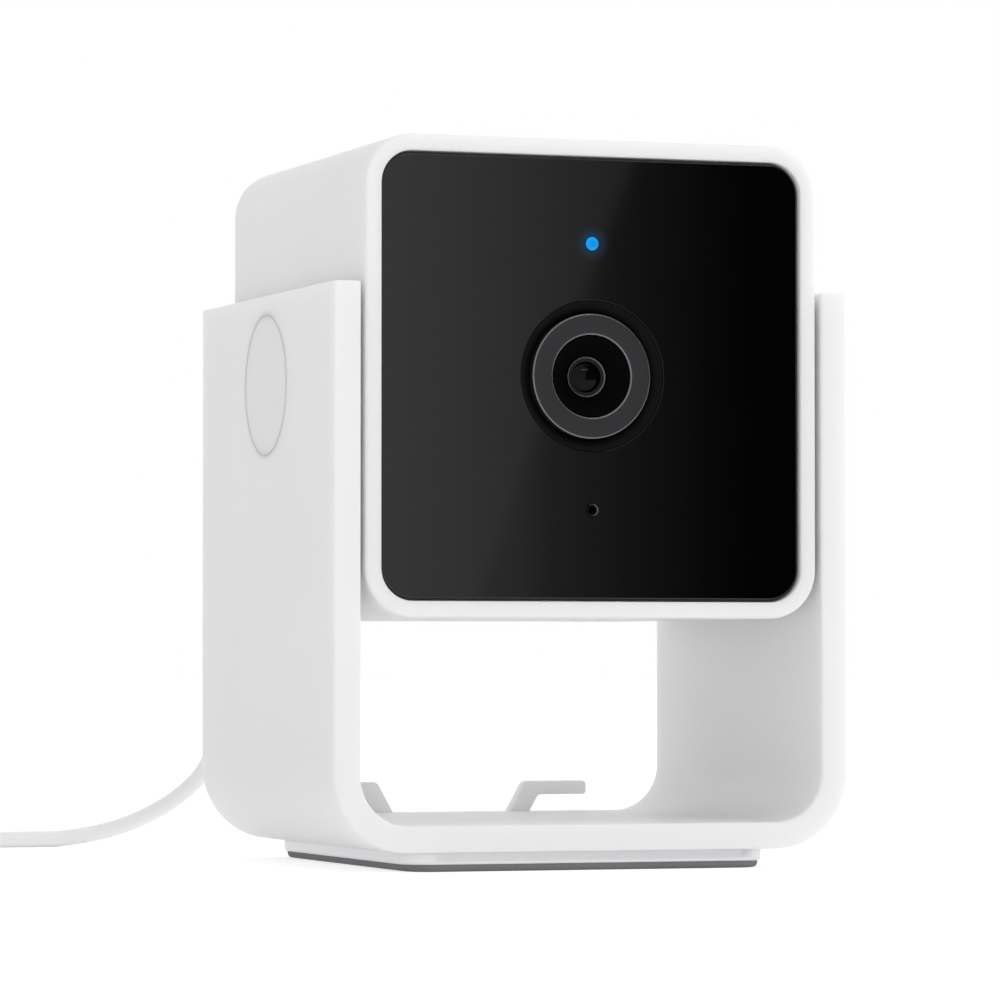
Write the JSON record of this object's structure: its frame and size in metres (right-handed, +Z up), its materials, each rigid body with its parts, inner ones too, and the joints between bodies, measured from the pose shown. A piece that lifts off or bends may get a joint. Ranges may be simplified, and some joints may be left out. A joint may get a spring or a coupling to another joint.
{
  "type": "pet camera",
  "caption": "Compact cube pet camera with a glossy black front, tilting on a side pivot in a white U-shaped yoke, with its power lead coiled.",
  "frame": {"origin": "middle of the underside of the foot pad, under the pivot", "axes": "+Z up, front face towards -Y, +X to the right seen from the front"},
  "size_m": [0.1384, 0.0916, 0.0814],
  "materials": {
    "white_shell": "fine satin moulded white",
    "plug_plastic": "soft moulded white",
    "cord_jacket": "smooth white jacket",
    "tie_strap": "black hook-and-loop strap",
    "gloss_panel": "polished black, passes infrared",
    "black_plastic": "fine matt black",
    "grey_ring": "satin dark grey",
    "lens_glass": "coated glass",
    "status_light": "clear guide lit blue",
    "board": "green solder mask",
    "rubber_parts": "dark grey matt",
    "plate_metal": "fine bead-blasted",
    "steel": "nickel-plated",
    "brass": "turned",
    "acetal": "natural acetal"
  },
  "bodies": {
    "stand": {"yoke": "white_shell", "base_plate": "plate_metal", "foot_pad": "rubber_parts", "plate_screw_left": "steel", "plate_screw_right": "steel", "pivot_cap_left": "white_shell", "pivot_cap_right": "white_shell", "friction_washer_left": "acetal", "friction_washer_right": "acetal", "power_lead": "cord_jacket", "lead_coil": "cord_jacket", "lead_tie": "tie_strap", "lead_tail": "cord_jacket", "supply_plug": "plug_plastic", "supply_contact": "steel"},
    "head": {"antenna": "brass", "board_screw_1": "steel", "board_screw_2": "steel", "camera_board": "board", "camera_ribbon": "board", "camera_screw_1": "steel", "camera_screw_2": "steel", "carrier_screw_1": "steel", "carrier_screw_2": "steel", "carrier_screw_3": "steel", "carrier_screw_4": "steel", "front_board": "board", "front_carrier": "black_plastic", "front_panel": "gloss_panel", "head_shell": "white_shell", "image_sensor": "black_plastic", "ir_led_1": "lens_glass", "ir_led_2": "lens_glass", "ir_led_3": "lens_glass", "ir_led_4": "lens_glass", "lens_barrel": "grey_ring", "lens_cone": "black_plastic", "lens_glass": "lens_glass", "lens_holder": "black_plastic", "lens_retainer": "grey_ring", "lens_surround": "black_plastic", "light_guide": "status_light", "main_board": "board", "mic_boot": "rubber_parts", "microphone": "steel", "pivot_hub_left": "brass", "pivot_hub_right": "brass", "pivot_screw_left": "steel", "pivot_screw_right": "steel", "plug_contact": "steel", "power_plug": "plug_plastic", "processor": "black_plastic", "setup_switch": "black_plastic", "speaker": "black_plastic", "speaker_gasket": "rubber_parts", "status_led": "status_light", "usb_socket": "steel", "wifi_module": "steel"},
    "button": {"setup_button": "white_shell"}
  },
  "joints": [
    {"name": "head_tilt", "type": "hinge", "parent": "stand", "child": "head", "pos_m": [0, 0, 0.05473], "axis": [1, 0, 0], "range_deg": [-30, 45], "deforming": ["power_lead"]},
    {"name": "setup_press", "type": "slide", "parent": "head", "child": "button", "axis": [0, -1, 0], "range_m": [0, 0.0004], "stiffness_N_per_m": 600, "springref_m": -0.0005}
  ]
}
